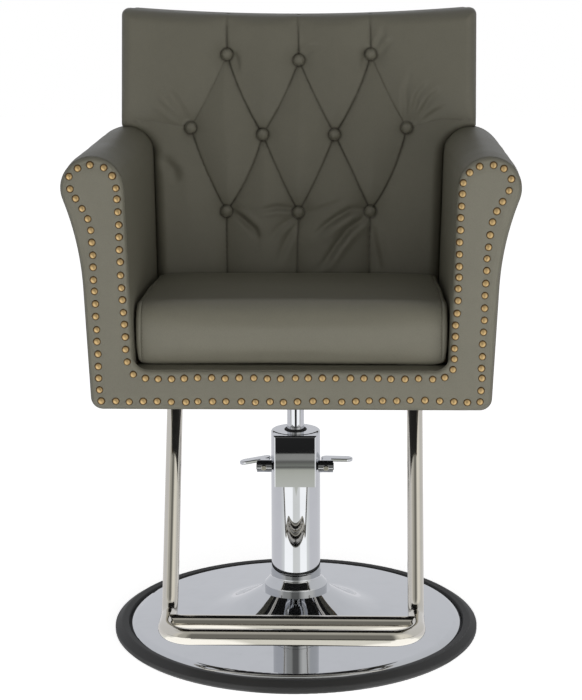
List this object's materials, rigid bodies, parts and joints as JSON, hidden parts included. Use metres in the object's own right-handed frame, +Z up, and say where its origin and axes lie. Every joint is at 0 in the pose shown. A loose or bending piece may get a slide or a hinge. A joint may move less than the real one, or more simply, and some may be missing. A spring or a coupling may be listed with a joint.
{
  "type": "styling chair",
  "caption": "Hydraulic styling chair with a button-tufted reclined back, rolled arms edged with nailheads, round plate base, side foot pedals and a tubular footrest.",
  "frame": {"origin": "on the floor, on the pump's axis", "axes": "+Z up, the sitter faces -Y, +X to the right as seen from the front"},
  "size_m": [0.6842, 0.6908, 1.0135],
  "materials": {
    "leather": "soft satin, fine grain",
    "chrome": "mirror polish",
    "steel": "plain zinc-plated",
    "rubber": "matt",
    "brass": "antique, satin",
    "wood": "raw plywood and timber",
    "black_cloth": "matt non-woven",
    "cast_iron": "black enamel"
  },
  "bodies": {
    "base": {"base_plate": "chrome", "base_trim_ring": "rubber", "pump_flange": "chrome", "pump_flange_bolts": "steel", "pump_barrel": "steel", "pump_cover": "chrome", "pump_cover_band": "rubber", "pump_head": "chrome", "pump_cowl": "chrome", "ram_wiper_seal": "rubber", "plunger_tube": "steel", "plunger_spring": "steel"},
    "plunger": {"pump_plunger": "steel"},
    "rocker": {"rocker_shaft": "chrome", "rocker_finger": "steel", "pedal_left": "chrome", "pedal_right": "chrome", "pedal_set_screws": "brass"},
    "lift": {"ram": "chrome", "ram_piston": "steel", "piston_seal": "rubber", "thrust_washer": "brass"},
    "seat": {"hub_bush": "brass", "seat_hub": "cast_iron", "seat_mount_plate": "steel", "seat_mount_bolts": "steel", "cross_rails": "wood", "front_rail_board": "wood", "back_rail_board": "wood", "arm_board_left": "wood", "arm_board_right": "wood", "seat_deck": "wood", "dust_cover": "black_cloth", "front_face_panel": "leather", "arm_left": "leather", "arm_right": "leather", "seat_cushion": "leather", "back_pad": "leather", "back_buttons": "leather", "back_board": "wood", "back_shell": "leather", "footrest_frame": "chrome", "footrest_rear_bar": "chrome", "footrest_plates": "steel", "footrest_bolts": "steel"}
  },
  "joints": [
    {"name": "ram_lift", "type": "slide", "parent": "base", "child": "lift", "axis": [0, 0, 1], "range_m": [0, 0.14]},
    {"name": "seat_swivel", "type": "hinge", "parent": "lift", "child": "seat", "pos_m": [0, 0, 0.4], "axis": [0, 0, 1], "continuous": true},
    {"name": "pedal_rock", "type": "hinge", "parent": "base", "child": "rocker", "pos_m": [0, -0.036, 0.288], "axis": [-1, 0, 0], "range_deg": [0, 20], "stiffness_Nm_per_rad": 3, "springref_deg": -20.05},
    {"name": "plunger_stroke", "type": "slide", "parent": "base", "child": "plunger", "axis": [0, 0, -1], "range_m": [0, 0.0035], "deforming": ["plunger_spring"]}
  ],
  "couplings": [
    {"joint": "plunger_stroke", "follows": "pedal_rock", "m_per_rad": 0.01}
  ]
}
